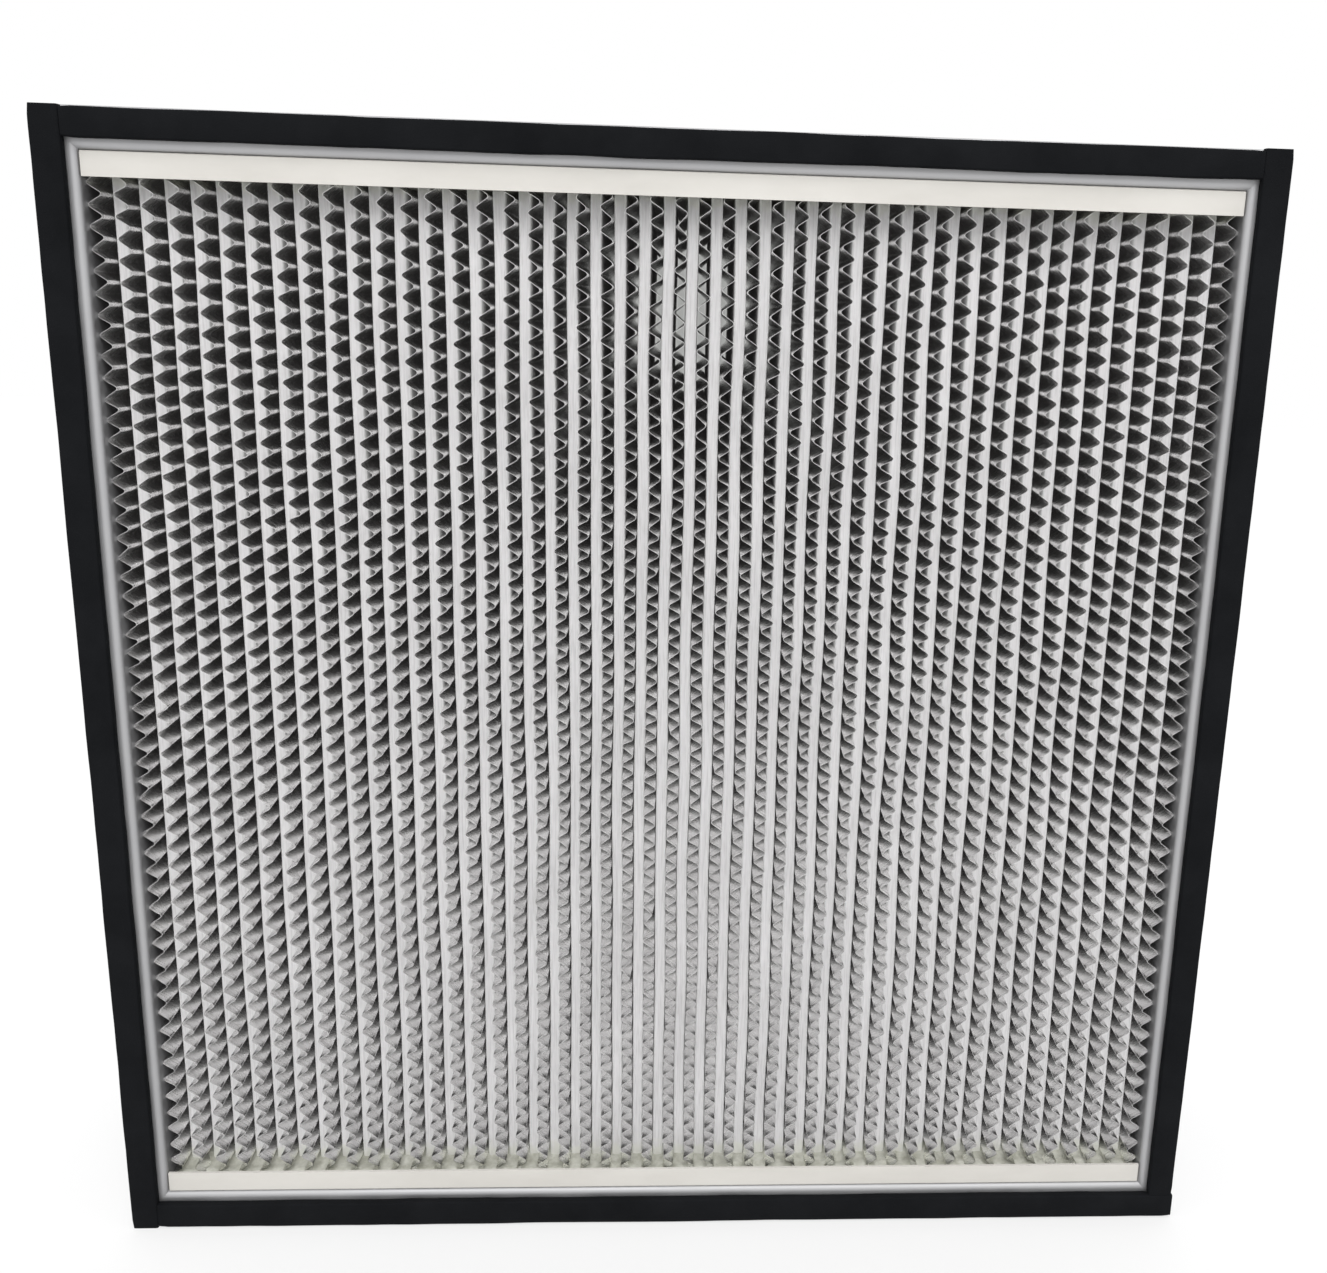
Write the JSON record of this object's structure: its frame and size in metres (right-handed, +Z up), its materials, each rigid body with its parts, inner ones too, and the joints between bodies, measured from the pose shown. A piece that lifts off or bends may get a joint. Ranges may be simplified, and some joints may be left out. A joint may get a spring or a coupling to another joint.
{
  "type": "hepa filter panel",
  "caption": "Square deep-pleat air filter panel: hollow metal casing, foam gasket, white pleated glass-fibre media held open by corrugated foil separators.",
  "frame": {"origin": "middle of the base, on the underside of the bottom casing member", "axes": "+X along the width to the right seen from the gasket side, +Y from the gasket face to the rear, +Z up"},
  "size_m": [0.61, 0.155, 0.61],
  "materials": {
    "casing": "brushed, satin",
    "corner_key": "as cast",
    "gasket": "matte foam",
    "strip": "cream, satin",
    "potting": "cast resin, uneven",
    "sealant": "cast bead",
    "media": "matte fibre",
    "separator": "foil"
  },
  "bodies": {
    "root": {"casing_bottom": "casing", "casing_left": "casing", "casing_right": "casing", "casing_top": "casing", "corner_key_front_bottom_left": "corner_key", "corner_key_front_bottom_right": "corner_key", "corner_key_front_top_left": "corner_key", "corner_key_front_top_right": "corner_key", "corner_key_rear_bottom_left": "corner_key", "corner_key_rear_bottom_right": "corner_key", "corner_key_rear_top_left": "corner_key", "corner_key_rear_top_right": "corner_key", "front_separators": "separator", "front_strip_bottom": "strip", "front_strip_top": "strip", "gasket_bottom": "gasket", "gasket_left": "gasket", "gasket_right": "gasket", "gasket_top": "gasket", "pleated_media": "media", "potting_bottom": "potting", "potting_top": "potting", "rear_separators": "separator", "rear_strip_bottom": "strip", "rear_strip_top": "strip", "side_sealant_left": "sealant", "side_sealant_right": "sealant"}
  },
  "joints": []
}
